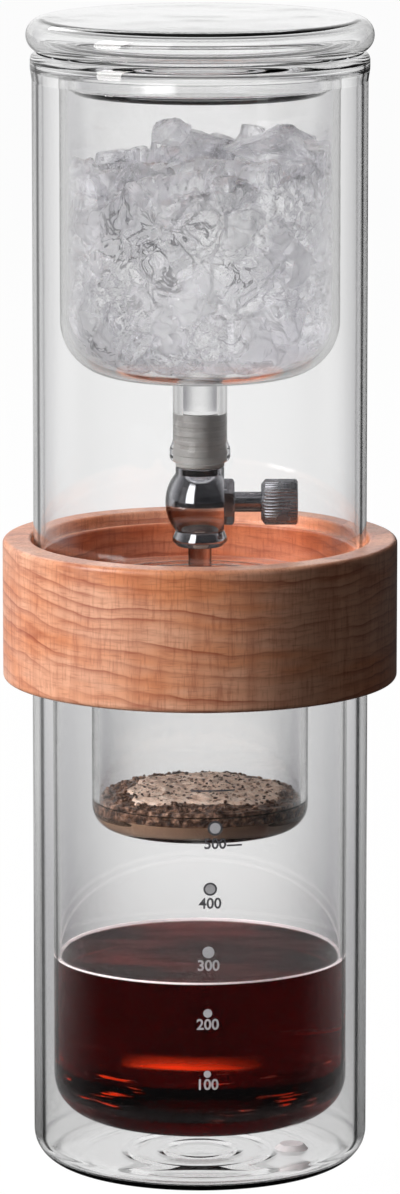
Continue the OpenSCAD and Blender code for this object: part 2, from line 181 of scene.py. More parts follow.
# the room: a white paper sweep behind the tower, a window on its left and a dark room behind the camera
studio = {
    "white": 1.0,            # the paper, as the camera sees it
    "floorSize": 30, "floorGlow": 0.86, "floorLift": 0.1, "shadedFloor": 0.04,
    # what glass shows straight through: brightness against the share of the way to a panel's middle
    "panels": 8,
    "panelSteps": [
        (0.0, (0.27, 0.265, 0.30)), (0.25, (0.42, 0.415, 0.44)), (0.59, (0.66, 0.66, 0.67)), (0.88, 0.92),
        (1.0, 1.0)],
    "nearFloor": 0.58,       # the paper's shade close to the tower, through the glass
    # what chrome, polished wood and the glass itself mirror, from the front (0) to the back (1)
    "mirrorSteps": [
        (0.0, (0.008, 0.008, 0.010)), (0.36, (0.03, 0.03, 0.033)), (0.52, (0.30, 0.30, 0.31)), (0.75, 0.85),
        (1.0, 0.95)],
    "ceiling": [(0.35, 1.0), (0.8, 0.25)],
    # soft light on matt surfaces, from right (0) to left (1)
    "softSteps": [(0.0, 0.008), (0.35, 0.035), (0.55, 0.15), (1.0, (0.64, 0.63, 0.62))],
    # the window as metal mirrors it: (least, most) degrees left of the camera, and (least, most) height
    "window": {"turn": (19, 50), "height": (-0.25, 0.75), "strength": 2.4, "core": 0.8},
    "innerLight": 1.0,       # what light that is mirrored inside the glass more than once comes to
    # the paper as it is mirrored, by metres behind (+) or before (-) the tower
    "mirroredFloor": [(-0.50, 0.02), (-0.05, 0.02), (0.5, 0.8)],
    # the black cards at both sides of the paper, in degrees from its middle, that darken what glass mirrors
    "cards": [(0.0, 1.0), (7.0, 1.0), (13.0, 0.9), (20.0, 0.80), (40.0, 0.80), (50.0, 1.0), (180.0, 1.0)],
    # the lamps: place and size in metres, power and colour
    "lamps": {
        "leftWindow": ((-1.3, -0.66, 0.75), (0.55, 1.3), 26, (1.0, 0.98, 0.96)),
        "rightCard": ((1.1, -1.2, 0.5), (0.25, 0.9), 0.7, (1, 1, 1)),
        "backTop": ((-0.35, 1.3, 1.3), (1.2, 0.5), 6, (1, 1, 1)),
    },
}


def shadeByDirection(tree, x, y):
    # bright panels at even angles round the tower, with greyer gaps that draw the edges of the glass
    angle = math2(tree, "ARCTAN2", x, y)
    wave = math2(tree, "COSINE", times(tree, angle, float(studio["panels"])))
    return ramp(tree, mapped(tree, wave, -1.0, 1.0), studio["panelSteps"])


def betweenCards(tree, x, y):
    turned = math2(tree, "ABSOLUTE", math2(tree, "ARCTAN2", x, y))
    share = math2(tree, "DIVIDE", turned, math.pi)
    return ramp(tree, share, [(angle / 180, value) for angle, value in studio["cards"]])


def pathKinds(tree):
    # how a ray came here: through glass, off something shiny, or off something matt
    path = put(tree, "LightPath").outputs

    def deeper(name, least):
        return math2(tree, "GREATER_THAN", path[name], least)

    through, inside = path["Is Transmission Ray"], deeper("Transmission Depth", 0.5)
    bent = math2(tree, "MAXIMUM", through, path["Is Glossy Ray"])
    return {
        "camera": path["Is Camera Ray"], "through": through, "inside": inside, "bent": bent,
        "mirrored": times(tree, bent, deeper("Glossy Depth", 0.5)),
        "often": times(tree, deeper("Glossy Depth", 1.5), inside), "matt": deeper("Diffuse Depth", 0.5),
    }


def windowPatch(tree, x, y, z):
    # 1 where the mirrored window stands, 0 round it
    look = studio["window"]
    turn = math2(tree, "ARCTAN2", times(tree, x, -1.0), times(tree, y, -1.0))
    parts = []
    for value, (least, most) in ((turn, [math.radians(a) for a in look["turn"]]), (z, look["height"])):
        middle, half = (least + most) / 2, (most - least) / 2
        off = math2(tree, "ABSOLUTE", math2(tree, "SUBTRACT", value, middle))
        parts.append(mapped(tree, off, half, half * look["core"]))
    return times(tree, *parts)


def buildWorld():
    world = bpy.data.worlds.new("studioWorld")
    world.use_nodes = True
    tree = world.node_tree
    tree.nodes.clear()
    scene.world = world
    x, y, z = axes(tree, put(tree, "TexCoord").outputs["Generated"])
    kinds = pathKinds(tree)
    side = mapped(tree, x, -1.0, 1.0, 1.0, 0.0)
    soft = ramp(tree, side, studio["softSteps"])
    mirror = ramp(tree, mapped(tree, y, -1.0, 1.0), studio["mirrorSteps"])
    mirror = tinted(tree, mirror, ramp(tree, z, studio["ceiling"]))
    mirror = tinted(tree, mirror, betweenCards(tree, x, y))
    # what stands in the open mirrors little on its right
    right = tinted(tree, mirror, ramp(tree, side, [(0.0, 0.05), (0.36, 0.10), (0.47, 1.0)]))
    mirror = blended(tree, kinds["inside"], right, mirror)
    mirror = blended(tree, windowPatch(tree, x, y, z), mirror, studio["window"]["strength"])
    mirror = blended(tree, kinds["often"], mirror, studio["innerLight"])
    seen = blended(tree, kinds["through"], soft, shadeByDirection(tree, x, y))
    for kind, light in (("mirrored", mirror), ("matt", soft), ("camera", studio["white"])):
        seen = blended(tree, kinds[kind], seen, light)
    put(tree, "OutputWorld", {"Surface": put(tree, "Background", {"Color": seen, "Strength": 1.0})})


def buildFloor():
    mesh = bpy.data.meshes.new("floor")
    h = studio["floorSize"] / 2
    mesh.from_pydata([(-h, -h, 0), (h, -h, 0), (h, h, 0), (-h, h, 0)], [], [(0, 1, 2, 3)])
    floor = bpy.data.objects.new("floor", mesh)
    floor.location.z = -0.02 * mm
    scene.collection.objects.link(floor)
    made, tree = startMaterial("floorPaper")
    place = put(tree, "NewGeometry").outputs["Position"]
    x, y, _ = axes(tree, place)
    kinds = pathKinds(tree)
    # the paper through the glass, and the paper as the glass and the chrome mirror it
    near = mapped(tree, lengthOf(tree, place), 0.05, 0.40)
    seen = blended(tree, near, studio["nearFloor"], shadeByDirection(tree, x, y))
    depth = math2(tree, "ADD", y, 0.5)
    back = ramp(tree, depth, [(far + 0.5, shade) for far, shade in studio["mirroredFloor"]])
    before = tinted(tree, back, ramp(tree, depth, [(0.5, 0.05), (0.6, 1.0)]))
    back = tinted(tree, blended(tree, kinds["inside"], before, back), betweenCards(tree, x, y))
    right = tinted(tree, back, ramp(tree, x, [(0.03, 1.0), (0.15, 0.1)]))
    back = blended(tree, kinds["inside"], right, back)
    back = blended(tree, kinds["often"], back, studio["innerLight"])
    colour = blended(tree, kinds["mirrored"], blended(tree, kinds["through"], 1.0, seen), back)
    # the paper itself, which is dark for light that comes off other surfaces
    fibres = ramp(tree, speckle(tree, objectPoint(tree), 900, 3), [(0, 0.38), (1, 0.46)])
    clouded = math2(tree, "MAXIMUM", kinds["matt"], kinds["mirrored"])
    paper = put(tree, "BsdfDiffuse", {"Color": blended(tree, clouded, fibres, studio["shadedFloor"])})
    glow = put(tree, "Emission", {"Color": colour, "Strength": 1.0})
    straight = times(tree, kinds["bent"], math2(tree, "SUBTRACT", 1.0, kinds["matt"]))
    shown = times(tree, math2(tree, "MAXIMUM", kinds["camera"], straight), studio["floorGlow"])
    both = mixed(tree, shown, paper, glow)
    lift = put(tree, "Emission", {"Color": 1.0, "Strength": studio["floorLift"]})
    raised = put(tree, "AddShader", {0: both, 1: lift})
    clear = times(tree, kinds["through"], math2(tree, "SUBTRACT", 1.0, clouded))
    direct = math2(tree, "MAXIMUM", kinds["camera"], clear)
    mesh.materials.append(endMaterial(made, mixed(tree, direct, both, raised)))


def addPanel(name, place, size, power, colour):
    data = bpy.data.lights.new(name, "AREA")
    data.shape = "RECTANGLE"
    data.size, data.size_y = size
    data.energy, data.color = power, colour
    panel = bpy.data.objects.new(name, data)
    panel.location = place
    panel.rotation_euler = (Vector((0, 0, 0.19)) - Vector(place)).to_track_quat("-Z", "Y").to_euler()
    panel.visible_transmission = False
    panel.visible_camera = False
    scene.collection.objects.link(panel)


buildWorld()
buildFloor()
for lampName, lamp in studio["lamps"].items():
    addPanel(lampName, *lamp)
print("studio built")


# meshes are turned, cut and finished with these
def softened(corners, closed=False, finest=0.35):
    # rounds each (radius, height, rounding) corner of an outline
    points, count = [], len(corners)
    for i, corner in enumerate(corners):
        here, soft = Vector(corner[:2]), corner[2] if len(corner) > 2 else 0
        if soft <= 0 or (not closed and i in (0, count - 1)):
            points.append(tuple(here))
            continue
        a = Vector(corners[i - 1][:2]) - here
        b = Vector(corners[(i + 1) % count][:2]) - here
        half = a.angle(b) / 2
        if half > 1.56:
            points.append(tuple(here))
            continue
        reach = min(soft / math.tan(half), a.length * 0.4999, b.length * 0.4999)
        radius = reach * math.tan(half)
        a, b = a.normalized(), b.normalized()
        centre = here + (a + b).normalized() * (radius / math.sin(half))
        start, end = here + a * reach - centre, here + b * reach - centre
        turn = start.angle_signed(end)
        steps = max(4, min(18, int(abs(turn) * radius / finest)))
        for k in range(steps + 1):
            c, s = math.cos(-turn * k / steps), math.sin(-turn * k / steps)
            points.append((centre.x + start.x * c - start.y * s, centre.y + start.x * s + start.y * c))
    return points


def held(points, closed, near=0.25, least=3.0):
    # points close to both ends of a long straight stretch keep a rounding's shading off it
    result = []
    for a, b in zip(points, points[1:] + (points[:1] if closed else [])):
        result.append(a)
        way = Vector(b) - Vector(a)
        if way.length > least:
            step = way.normalized() * near
            result += [tuple(Vector(a) + step), tuple(Vector(b) - step)]
    return result if closed else result + [points[-1]]


def finishMesh(name, build, material, sharp=38):
    bmesh.ops.remove_doubles(build, verts=build.verts, dist=1e-7)
    build.normal_update()
    for edge in build.edges:
        edge.smooth = len(edge.link_faces) == 2 and edge.calc_face_angle(0) < math.radians(sharp)
    for face in build.faces:
        face.smooth = True
    mesh = bpy.data.meshes.new(name)
    build.to_mesh(mesh)
    build.free()
    piece = bpy.data.objects.new(name, mesh)
    scene.collection.objects.link(piece)
    mesh.materials.append(material)
    return piece


def turns(around):
    return [2 * math.pi * k / around for k in range(around)]


def joinRings(build, rings, closed=False, outward=True):
    # faces between rings of points, where a ring of one point is a tip
    around = max(len(ring) for ring in rings)
    for low, high in zip(rings, rings[1:] + (rings[:1] if closed else [])):
        for k in range(around):
            after = k + 1
            corners = [low[k % len(low)], low[after % len(low)], high[after % len(high)], high[k % len(high)]]
            if not outward:
                corners[1:] = corners[:0:-1]
            face = list(dict.fromkeys(corners))
            if len(face) > 2:
                build.faces.new(face)


def turnedPiece(name, outlines, material, around, matrix=None):
    # each outline is (points, closed), drawn so that the material lies to its left
    build = bmesh.new()
    for outline, closed in outlines:
        rings = []
        for radius, height in held(outline, closed):
            spots = [(radius * mm * math.cos(a), radius * mm * math.sin(a), height * mm)
                     for a in (turns(around) if radius > 1e-6 else [0.0])]
            rings.append([build.verts.new(matrix @ Vector(spot) if matrix else spot) for spot in spots])
        joinRings(build, rings, closed)
    return finishMesh(name, build, material)


def softPiece(name, corners, material, around, closed=True):
    return turnedPiece(name, [(softened(corners, closed), closed)], material, around)


def cutAway(piece, cutters):
    for cutter in cutters:
        cut = piece.modifiers.new("cut", "BOOLEAN")
        cut.operation, cut.solver, cut.object = "DIFFERENCE", "EXACT", cutter
    evaluated = piece.evaluated_get(bpy.context.evaluated_depsgraph_get())
    piece.data = bpy.data.meshes.new_from_object(evaluated)
    piece.modifiers.clear()
    for cutter in cutters:
        bpy.data.objects.remove(cutter)
    return piece


def mount(piece, body, replaced=()):
    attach(piece, body)
    if replaced:
        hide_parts(*replaced)
    return piece


def alongX(height):
    # turns a piece made round the Z axis onto the valve's own axis, along +X
    return Matrix.Translation((0, 0, height * mm)) @ Matrix.Rotation(math.pi / 2, 4, "Y")


# blown glass: each wall has its own dark line, painted shade for the dark edge of the wall, by how steeply it
# is seen (0 square on, 1 along it)
glassLook = {
    "ior": 1.47, "shine": 0.15, "waviness": 0.035, "contact": 326.3, "film": (0.93, 0.93, 0.94),
    "plain": [(0.0, 1.0), (0.92, 0.985), (0.96, 0.7), (1.0, 0.3)],
    "tubeOuter": [
        (0.0, 1.0), (0.70, 1.0), (0.72, 0.4), (0.732, 0.01), (0.758, 0.01), (0.780, 0.35), (0.80, 0.95),
        (1.0, 1.0)],
    "tubeInner": [
        (0.0, 1.0), (0.62, 1.0), (0.74, 0.97), (0.762, 0.45), (0.785, 0.45), (0.82, 0.85), (0.86, 1.0),
        (1.0, 1.0)],
    "chamberOuter": [(0.0, 1.0), (0.78, 1.0), (0.83, 0.8), (0.87, 0.3), (0.90, 0.04), (1.0, 0.02)],
    "jacketOuter": [
        (0.0, 1.0), (0.62, 1.0), (0.64, 0.55), (0.658, 0.02), (0.695, 0.015), (0.715, 0.5), (0.745, 1.0),
        (1.0, 1.0)],
    "linerOuter": [
        (0.0, 1.0), (0.60, 0.98), (0.69, 0.93), (0.735, 1.0), (0.762, 0.65), (0.783, 0.03), (0.825, 0.015),
        (0.855, 0.4), (0.905, 0.8), (1.0, 0.9)],
    "cupOuter": [
        (0.0, 1.0), (0.4, 1.0), (0.55, 0.97), (0.65, 0.92), (0.72, 0.97), (0.78, 0.7), (0.83, 0.15),
        (0.86, 0.03), (0.90, 0.04), (1.0, 0.15)],
}


def glassMaterial(name, look, wall="plain"):
    made, tree = startMaterial(name)
    point = objectPoint(tree, (1, 1, 0.35))
    fine = times(tree, speckle(tree, point, 260, 2), 0.12)
    height = math2(tree, "ADD", speckle(tree, point, 45, 1), fine)
    # level faces, such as the rim under the lid, pass light on without the wall's line
    level = ramp(tree, levelness(tree), [(0.35, 0), (0.8, 1)])
    # the wall's ramp darkens the colour where the glass is seen along it: painted shade
    shader = put(tree, "BsdfPrincipled", {
        "Base Color": blended(tree, level, ramp(tree, facing(tree), look[wall]), 1.0), "Roughness": 0.0,
        "IOR": look["ior"], "Transmission Weight": 1.0, "Specular IOR Level": look["shine"],
        "Normal": relief(tree, height, look["waviness"], 0.0012),
    })
    # where the lid rests on the rim the two are in close contact, and light passes as through one piece
    z = axes(tree, put(tree, "TexCoord").outputs["Object"])["Z"]
    off = math2(tree, "ABSOLUTE", math2(tree, "SUBTRACT", z, look["contact"] * mm))
    touching = times(tree, math2(tree, "LESS_THAN", off, 0.06 * mm), level)
    body = mixed(tree, touching, shader, put(tree, "BsdfTransparent", {"Color": 1.0}))
    return endMaterial(made, withFilm(tree, body, look["film"]))


clearGlass = glassMaterial("clearGlass", glassLook)


def paintWalls(piece, walls):
    # walls: (name of its look, least and most radius, least and most height) of each wall that has a painted
    # dark line
    for wall, inner, outer, low, high in walls:
        piece.data.materials.append(glassMaterial(wall + "Glass", glassLook, wall))
        index = len(piece.data.materials) - 1
        for face in piece.data.polygons:
            away = math.hypot(face.center.x, face.center.y) / mm
            if inner < away < outer and low < face.center.z / mm < high and abs(face.normal.z) < 0.3:
                face.material_index = index
    return piece


def sealedGlass(name, shape):
    # blown glass round a sealed hollow
    outlines = [(softened(shape[part]), False) for part in ("outer", "hollow")]
    return turnedPiece(name, outlines, clearGlass, 192)


carafeShape = {
    "outer": [(0, 0), (48.8, 0, 9), (48.8, 156, 2.6), (41.3, 156, 2.6), (41.3, 15.6, 10.4), (0, 15.6)],
    # the hollow's floor has the faint rings of blown glass
    "hollow": [
        (0, 14), (42.9, 14, 12), (42.9, 153.7, 1.95), (46.8, 153.7, 1.95), (46.8, 2, 7), (38, 2.0, 3),
        (35, 2.12, 3), (31.5, 2.0, 3), (23.5, 2.0, 2), (21, 2.26, 2), (18, 2.0, 2), (13, 2.02, 2),
        (10.5, 2.3, 2), (7.5, 2.0, 2), (0, 2.12)],
}
vesselShape = [
    (46.4, 181.5, 0.6), (48.4, 181.5, 0.6), (48.4, 318.3, 3), (48.9, 321.7, 2), (48.9, 326.3, 2.6),
    (38.5, 326.3, 2.6), (38.5, 235, 14), (5.2, 235, 2), (5.2, 207.2, 0.6), (8.8, 207.2, 1.9),
    (8.8, 211.2, 1.4), (7.9, 213.6, 1.5), (7.9, 233, 2.4), (40.5, 233, 16), (40.5, 324, 2.95),
    (46.4, 324, 2.95),
]
cupShape = [
    (3, 97, 0.3), (4.6, 97, 0.6), (5.2, 99.5, 0.6), (31.6, 99.5, 7), (31.6, 170.8, 2), (40, 170.8, 1.1),
    (40, 173, 1.1), (29.6, 173, 1.1), (29.6, 102.5, 5), (3, 102.5, 0.5),
]
lidShape = {
    "outer": [
        (0, 314.6), (37.7, 314.6, 3), (37.7, 326.3, 1), (50.1, 326.3, 4.85), (50.1, 336.1, 4.85), (0, 336.1)],
    "hollow": [
        (0, 334.1), (48.1, 334.1, 2.85), (48.1, 328.3, 2.85), (35.7, 328.3, 1), (35.7, 316.6, 1.4),
        (0, 316.6)],
}

carafeWalls = [("jacketOuter", 48.2, 49.5, 6, 153), ("linerOuter", 42.5, 43.2, 20, 150)]
carafeGlass = paintWalls(sealedGlass("carafeGlass", carafeShape), carafeWalls)
mount(carafeGlass, "carafe", ("carafe_jacket", "carafe_liner"))
vesselWalls = [("tubeOuter", 47.8, 49.2, 181, 324), ("tubeInner", 46.0, 46.8, 181, 322),
               ("chamberOuter", 40.2, 40.8, 240, 322)]
vesselGlass = paintWalls(softPiece("vesselGlass", vesselShape, clearGlass, 192), vesselWalls)
mount(vesselGlass, "vessel", ("vessel_tube", "ice_chamber"))
cupGlass = paintWalls(softPiece("cupGlass", cupShape, clearGlass, 160), [("cupOuter", 31.2, 32.0, 104, 169)])
mount(cupGlass, "cup", ("coffee_cup",))
mount(sealedGlass("lidGlass", lidShape), "lid", ("lid_crown", "lid_plug"))
print("glass built")

# the turned wooden collar
woodLook = {
    "pale": (0.96, 0.51, 0.33), "mid": (0.87, 0.33, 0.15), "deep": (0.34, 0.055, 0.02),
    "ring": 3.4,             # millimetres between growth lines
    # how dark a line is on the way from one to the next
    "line": [(0.0, 0.25), (0.12, 0.0), (0.50, 0.12), (0.80, 0.6), (0.93, 1.0), (1.0, 0.25)],
    "lineShare": 0.75,
    "tilt": (0.05, -0.10),   # how the growth lines lean along X and Y
    # the colour inside the bore radius is darkened by the last tint: painted shade
    "gloss": 0.36, "bore": 45.9, "paintedBoreShade": (0.80, 0.55, 0.42),
}
collarShape = [
    (33.0, 156, 0.4), (49.5, 156, 0.3), (49.5, 143.8, 0.7), (57.35, 143.8, 1.4), (57.35, 184.9, 1.4),
    (49.1, 184.9, 0.9), (49.1, 181.5, 0.3), (45.5, 181.5, 0.7), (45.5, 170.8, 0.4), (35.6, 170.8, 0.3),
    (33.0, 168.2, 0.4),
]


def woodMaterial(name, look):
    made, tree = startMaterial(name)
    x, y, z = axes(tree, put(tree, "TexCoord").outputs["Object"])
    # growth lines lie nearly level, bent by slow waves and unevenly spaced
    height = z
    slow, quick = streaks(tree, (22, 22, 30)), streaks(tree, (95, 95, 60), 2, 0.55)
    for bend, share in ((x, look["tilt"][0]), (y, look["tilt"][1]), (slow, 0.009), (quick, 0.0022)):
        height = math2(tree, "ADD", height, times(tree, bend, share))
    layer = math2(tree, "DIVIDE", height, look["ring"] * mm)
    line = ramp(tree, math2(tree, "FRACT", layer), look["line"])
    # each line has its own strength, which fades along it
    along = put(tree, "CombineXYZ", {
        0: times(tree, x, 26.0), 1: times(tree, y, 26.0), 2: times(tree, math2(tree, "FLOOR", layer), 7.3)})
    fade = ramp(tree, speckle(tree, along, 1.0, 2), [(0.35, 0.15), (0.65, 1.0)])
    # on a ground that changes slowly: the lines, a few darker knots, curl, fine pores and short flecks
    ground = ramp(tree, streaks(tree, (14, 14, 60), 3, 0.6), [(0.42, 0), (0.60, 1)])
    knots, curl = streaks(tree, (36, 36, 120), 3, 0.6), streaks(tree, (240, 240, 20))
    pores, flecks = streaks(tree, (160, 160, 1500), 2, 0.6), streaks(tree, (1300, 1300, 150), 3, 0.6)
    colour = blended(tree, ground, look["pale"], look["mid"])
    for share in (
            times(tree, line, fade, look["lineShare"]), ramp(tree, knots, [(0.62, 0), (0.74, 0.55)]),
            ramp(tree, curl, [(0.40, 0), (0.66, 0.22)]), ramp(tree, pores, [(0.52, 0), (0.72, 0.34)]),
            ramp(tree, flecks, [(0.50, 0), (0.70, 0.36)])):
        colour = blended(tree, share, colour, look["deep"])
    # inside the bore the colour is darkened, painted shade, and the coat is stronger
    inner = math2(tree, "LESS_THAN", lengthOf(tree, objectPoint(tree, (1, 1, 0))), look["bore"] * mm)
    relieved = math2(tree, "ADD", times(tree, pores, -0.5), times(tree, flecks, -0.3))
    return endMaterial(made, put(tree, "BsdfPrincipled", {
        "Base Color": blended(tree, inner, colour, tinted(tree, colour, look["paintedBoreShade"])), "IOR": 1.45,
        "Roughness": mapped(tree, flecks, 0.3, 0.8, look["gloss"] - 0.05, look["gloss"] + 0.1),
        "Normal": relief(tree, relieved, 0.12, 0.0004),
        "Coat Weight": mapped(tree, inner, 0.0, 1.0, 0.15, 0.9), "Coat Roughness": 0.12,
    }))


oiledWood = woodMaterial("oiledWood", woodLook)
mount(softPiece("woodRing", collarShape, oiledWood, 256), "collar", ("wood_collar",))
print("collar built")


# the valve, its nut and its knob
# edge is how dark each metal is painted where it is seen along it, painted shade at its edges
metalLook = {
    "polishedChrome": {"colour": (0.62, 0.62, 0.65), "rough": 0.035, "edge": 0.22, "marks": (60, 60, 5200)},
    "blackChrome": {"colour": (0.40, 0.40, 0.42), "rough": 0.15, "edge": 0.5, "marks": (40, 40, 40)},
    "brushedSteel": {"colour": (0.55, 0.55, 0.54), "rough": 0.24, "edge": 0.8, "marks": (60, 60, 5200)},
}


def metalMaterial(name, look):
    made, tree = startMaterial(name)
    smudge = speckle(tree, objectPoint(tree), 140, 3)
    colour = blended(tree, smudge, look["colour"], tuple(c * 0.86 for c in look["colour"]))
    # painted shade: the colour darkens to the edge value where the metal is seen along it
    rim = ramp(tree, facing(tree), [(0.0, 1.0), (0.45, 0.9), (0.62, look["edge"]), (1.0, look["edge"])])
    return endMaterial(made, put(tree, "BsdfPrincipled", {
        "Base Color": tinted(tree, colour, rim), "Metallic": 1.0, "Specular IOR Level": 0.1,
        "Roughness": mapped(tree, smudge, 0.3, 0.7, look["rough"], look["rough"] * 1.9 + 0.02),
        "Normal": relief(tree, streaks(tree, look["marks"], 1), 0.05, 0.0001),
    }))


chrome, blackChrome, brushedSteel = [metalMaterial(name, look) for name, look in metalLook.items()]

valve = {
    "centre": 195.4, "barrelRadius": 10.1, "barrelHeight": 16.8, "neck": 7.1, "neckHeight": 2.2,
    "flat": 7, "bore": 3.6, "nutFlats": 11.8, "nutThickness": 3, "nutBevel": 0.7, "spindle": 2.95,
    "knobStart": 17.7, "knobEnd": 28.3, "knobRadius": 6.65, "flutes": 40, "fluteDepth": 0.45,
}


def barrelOutline(v):
    half, bulge = v["barrelHeight"] / 2, v["barrelRadius"] - v["neck"]
    radius = (half * half + bulge * bulge) / (2 * bulge)
    reach = math.asin(half / radius)
    middle = v["barrelRadius"] - radius
    side = [(middle + radius * math.cos(a), v["centre"] + radius * math.sin(a))
            for a in (reach * (k / 20 - 1) for k in range(41))]
    low, top = v["centre"] - half, v["centre"] + half + v["neckHeight"]
    return [(0, low)] + side + [(v["neck"], top - 0.4), (v["neck"] - 0.4, top), (0, top)]


def buildBarrel(v):
    barrel = turnedPiece("valveBarrel", [(barrelOutline(v), False)], chrome, 160)
    block = bmesh.new()
    middle = Matrix.Translation(((v["flat"] + 10) * mm, 0, v["centre"] * mm))
    bmesh.ops.create_cube(block, size=1, matrix=middle @ Matrix.Diagonal((0.02, 0.06, 0.03, 1)))
    slab = finishMesh("flatCutter", block, chrome)
    bore = [(0, -3.5), (v["bore"], -3.5), (v["bore"], 12), (0, 12)]
    drill = turnedPiece("boreDrill", [(bore, False)], chrome, 48, alongX(v["centre"]))
    return mount(cutAway(barrel, [slab, drill]), "vessel", ("valve_body",))


def stackAlongX(name, stations, around, reach, v, sharp, closed=False):
    # rings of points at each (distance, most radius) along the valve's axis, where reach gives the outline
    build = bmesh.new()
    rings = []
    for x, most in stations:
        ring = []
        for a in turns(around) if most else [0.0]:
            r = min(most, reach(a))
            ring.append(build.verts.new((x * mm, r * math.cos(a) * mm, r * math.sin(a) * mm)))
        rings.append(ring)
    joinRings(build, rings, closed)
    bmesh.ops.translate(build, verts=build.verts, vec=(0, 0, v["centre"] * mm))
    bmesh.ops.recalc_face_normals(build, faces=build.faces)
    return finishMesh(name, build, blackChrome, sharp)


def buildNut(v):
    across, start, thick, hole = v["nutFlats"] / 2, v["flat"], v["nutThickness"], v["spindle"] + 0.05
    corner = across / math.cos(math.pi / 6)
    stations = [
        (start, corner), (start + (thick - v["nutBevel"]), corner),
        (start + (thick - v["nutBevel"] * 0.5), corner - 0.35), (start + thick, across - 0.1),
        (start + thick, v["spindle"] + 0.35), (start + (thick - 0.3), hole), (start, hole)]

    def hexagon(a):
        return across / math.cos((a + math.pi / 6) % (math.pi / 3) - math.pi / 6)

    nut = stackAlongX("glandNut", stations, 72, hexagon, v, 25, True)
    return mount(nut, "vessel", ("gland_nut",))


def buildKnob(v):
    radius, start, end = v["knobRadius"], v["knobStart"], v["knobEnd"]
    stations = [
        (start, v["spindle"] + 0.01), (start, radius - 1.45), (start + 0.15, radius - 1.3),
        (start + 0.75, radius - 0.6), (start + 1.3, radius), (end - 0.5, radius), (end - 0.2, radius - 0.22),
        (end, radius - 0.55), (end, 3.9), (end - 0.25, 3.7), (end - 0.25, 0)]

    def flutes(a):
        return radius - v["fluteDepth"] * (0.5 - 0.5 * math.cos(a * v["flutes"])) ** 1.6

    knob = stackAlongX("fluteKnob", stations, v["flutes"] * 8, flutes, v, 50)
    return mount(knob, "needle", ("knob",))


skirtShape = [(0.9, 184.2), (3.4, 184.2), (3.4, 182.6, 0.3), (6.6, 182.6, 0.5), (8.1, 184.1, 0.8),
              (7.9, 185.2, 0.8), (7.15, 187.0, 0.2), (0.9, 187.0)]
nozzleShape = [(1.6, 175.0, 0.2), (2.8, 175.0, 0.3), (3.4, 176.3, 0.6), (3.4, 184.2), (1.6, 184.2)]

buildBarrel(valve)
buildNut(valve)
buildKnob(valve)
mount(softPiece("skirtCap", skirtShape, chrome, 128), "vessel", ("skirt_cap",))
mount(softPiece("dripNozzle", nozzleShape, chrome, 96), "vessel", ("drip_nozzle",))
print("valve built")


# the stopper, and the small pieces that keep their own solids
rubberLook = {
    "greySilicone": {"colour": (0.40, 0.395, 0.38), "through": 0.35, "rough": 0.45},
    "whiteSilicone": {"colour": (0.78, 0.78, 0.76), "through": 0.2, "rough": 0.5},
    "blackRubber": {"colour": (0.02, 0.02, 0.02), "through": 0.0, "rough": 0.55},
    "seatPlastic": {"colour": (0.75, 0.75, 0.72), "through": 0.0, "rough": 0.35},
}


def rubberMaterial(name, look):
    made, tree = startMaterial(name)
    dust = speckle(tree, objectPoint(tree), 700, 3)
    dusty = tuple(min(1, c * 1.25 + 0.01) for c in look["colour"])
    return endMaterial(made, put(tree, "BsdfPrincipled", {
        "Base Color": blended(tree, dust, look["colour"], dusty), "Roughness": look["rough"],
        "Transmission Weight": look["through"], "IOR": 1.41, "Normal": relief(tree, dust, 0.15, 0.0002),
    }))


greySilicone, whiteSilicone, blackRubber, seatPlastic = [
    rubberMaterial(name, look) for name, look in rubberLook.items()]


def stopperOutline():
    points = [(2.62, 206.0), (7.1, 206.0, 0.3), (7.1, 207.2, 0.3), (5.26, 207.2)]
    for i in range(1, 5):
        z = 207.2 + 2.86 * i
        points += [(5.26, z - 0.95, 0.1), (5.42, z - 0.6, 0.2), (5.42, z + 0.6, 0.2), (5.26, z + 0.95, 0.1)]
    return points + [(5.26, 221.5, 0.4), (2.62, 221.5)]


stopper = softPiece("outletStopper", stopperOutline(), greySilicone, 96)
mount(stopper, "vessel", ("silicone_stopper",))

carriedOver = {
    "vent_plug": (whiteSilicone, "white_silicone"), "filter_ring": (whiteSilicone, "white_silicone"),
    "filter_disc": (brushedSteel, "steel"), "inlet_tube": (brushedSteel, "steel"),
    "valve_seat": (seatPlastic, "seat_plastic"), "spindle_seal": (blackRubber, "black_rubber"),
    "needle_spindle": (blackChrome, "black_chrome"), "knob_screw": (brushedSteel, "steel"),
}
for nodeName, (material, slotName) in carriedOver.items():
    node = nodeOf[nodeName]
    node.data.materials.clear()
    node.data.materials.append(material)
print("small pieces finished")


# coffee, water, ice and grounds
def bothSides(tree, inputs):
    # throws light back, and lets it through
    return [put(tree, kind, inputs) for kind in ("BsdfDiffuse", "BsdfTranslucent")]


# a bright colour that throws light back and lets it through, used for painted highlights and glints
def glowing(tree, colour):
    back, through = bothSides(tree, {"Color": colour})
    return put(tree, "AddShader", {0: back, 1: through})


